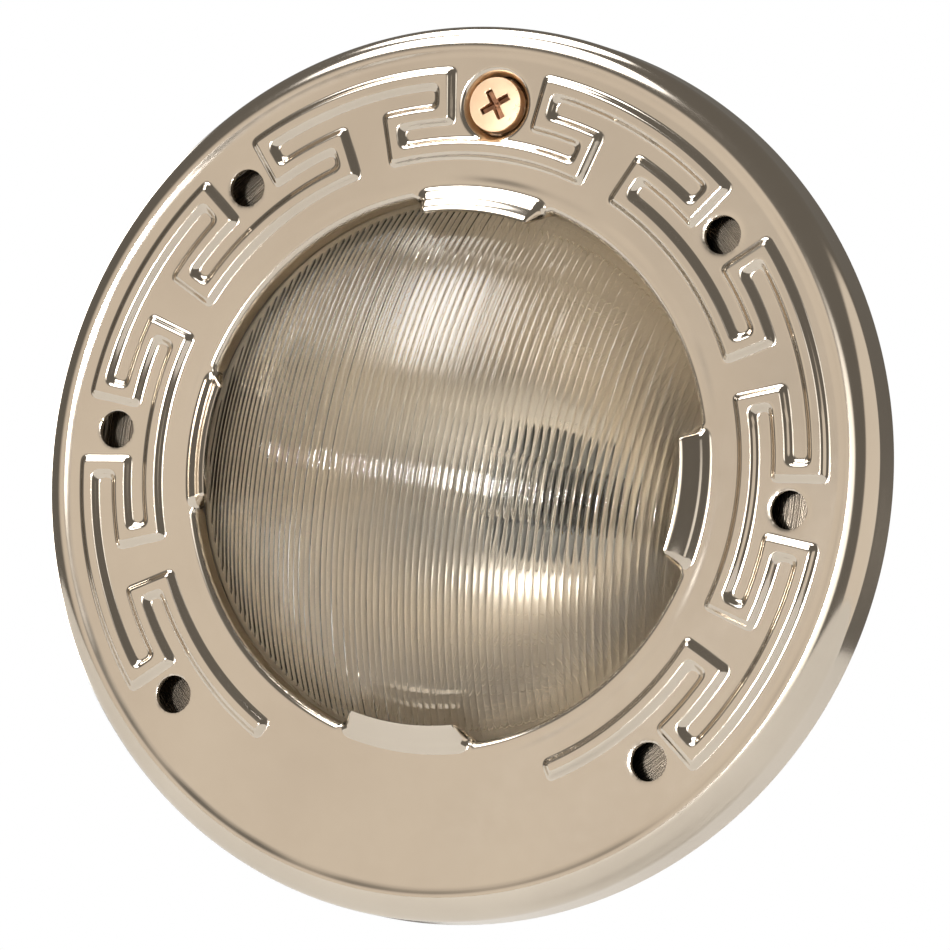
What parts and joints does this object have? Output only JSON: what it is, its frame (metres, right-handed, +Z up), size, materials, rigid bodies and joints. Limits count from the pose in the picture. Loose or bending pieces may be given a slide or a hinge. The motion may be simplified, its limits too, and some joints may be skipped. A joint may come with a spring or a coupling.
{
  "type": "underwater pool light",
  "caption": "Recessed underwater light with a stamped round face ring, raised key pattern, domed fluted glass lens, sealed metal shell, lampholder and rear cord gland.",
  "frame": {"origin": "centre of the face ring's rear rim, in the plane that seats on the pool wall", "axes": "+Z up towards the pilot screw, -Y out of the wall along the lens axis, +X to the right as seen from the pool"},
  "size_m": [0.165, 0.1394, 0.165],
  "materials": {
    "stainless_ring": "bright stamped, lightly scuffed",
    "stainless_shell": "drawn, satin",
    "stainless_fasteners": "machined",
    "copper_alloy_screw": "silicon bronze, machined",
    "gum_rubber": "matte",
    "silicone": "translucent grey, satin",
    "lens_glass": "pressed, fluted, clear",
    "quartz": "clear",
    "tungsten": "dull drawn wire",
    "reflector_aluminium": "spun and bright-dipped",
    "nickel_shell": "nickel-plated",
    "vitrite": "glossy black glass",
    "porcelain": "white glaze",
    "brass": "machined",
    "bond_copper": "cast bronze",
    "black_sleeving": "braided, varnished",
    "white_sleeving": "braided, varnished",
    "green_sleeving": "moulded",
    "cap_plastic": "moulded nylon",
    "green_zinc": "green chromate"
  },
  "bodies": {
    "light": {"face_ring": "stainless_ring", "seat_ring": "stainless_shell", "niche_hook": "stainless_shell", "lens": "lens_glass", "lens_gasket": "silicone", "shell": "stainless_shell", "clamp_band": "stainless_fasteners", "plain_trunnion": "stainless_fasteners", "threaded_trunnion": "stainless_fasteners", "reflector": "reflector_aluminium", "lamp_envelope": "quartz", "lamp_filament": "tungsten", "lamp_base": "nickel_shell", "lamp_insulator": "vitrite", "lamp_contact": "brass", "socket_body": "porcelain", "socket_liner": "brass", "socket_contact": "brass", "socket_bracket": "stainless_fasteners", "socket_screws": "stainless_fasteners", "socket_nuts": "stainless_fasteners", "bracket_studs": "stainless_fasteners", "bracket_nuts": "stainless_fasteners", "black_lead": "black_sleeving", "white_lead": "white_sleeving", "green_lead": "green_sleeving", "splice_caps": "cap_plastic", "ground_stud": "stainless_fasteners", "ring_terminal": "nickel_shell", "ground_nut": "green_zinc", "gland_body": "brass", "gland_oring": "gum_rubber", "gland_locknut": "brass", "gland_grommet": "gum_rubber", "bond_stud": "stainless_fasteners", "bond_lug": "bond_copper", "bond_nut": "stainless_fasteners", "bond_set_screw": "stainless_fasteners"},
    "pilot_washer": {"gum_washer": "gum_rubber"},
    "pilot_screw": {"pilot_screw": "copper_alloy_screw"},
    "clamp_washer": {"clamp_washer": "stainless_fasteners"},
    "clamp_screw": {"clamp_screw": "stainless_fasteners"},
    "slip_ring": {"slip_ring": "brass"},
    "gland_nut": {"gland_nut": "brass"}
  },
  "joints": [
    {"name": "pilot_slide", "type": "slide", "parent": "light", "child": "pilot_washer", "axis": [0, -1, 0], "range_m": [0, 0.008]},
    {"name": "pilot_turn", "type": "hinge", "parent": "pilot_washer", "child": "pilot_screw", "pos_m": [0, 0, 0.0672], "axis": [0, -1, 0], "range_deg": [0, 2725]},
    {"name": "clamp_slide", "type": "slide", "parent": "light", "child": "clamp_washer", "axis": [0.3827, 0, 0.9239], "range_m": [0, 0.006]},
    {"name": "clamp_turn", "type": "hinge", "parent": "clamp_washer", "child": "clamp_screw", "pos_m": [-0.06375, 0.0011, 0.02641], "axis": [0.3827, 0, 0.9239], "range_deg": [0, 2705]},
    {"name": "gland_slide", "type": "slide", "parent": "light", "child": "slip_ring", "axis": [0, 1, 0], "range_m": [0, 0.006]},
    {"name": "gland_turn", "type": "hinge", "parent": "slip_ring", "child": "gland_nut", "pos_m": [0, 0, -0.024], "axis": [0, 1, 0], "range_deg": [0, 1445]}
  ],
  "couplings": [
    {"joint": "pilot_turn", "follows": "pilot_slide", "rad_per_m": 5938.7},
    {"joint": "clamp_turn", "follows": "clamp_slide", "rad_per_m": 7854},
    {"joint": "gland_turn", "follows": "gland_slide", "rad_per_m": 4188.8}
  ]
}
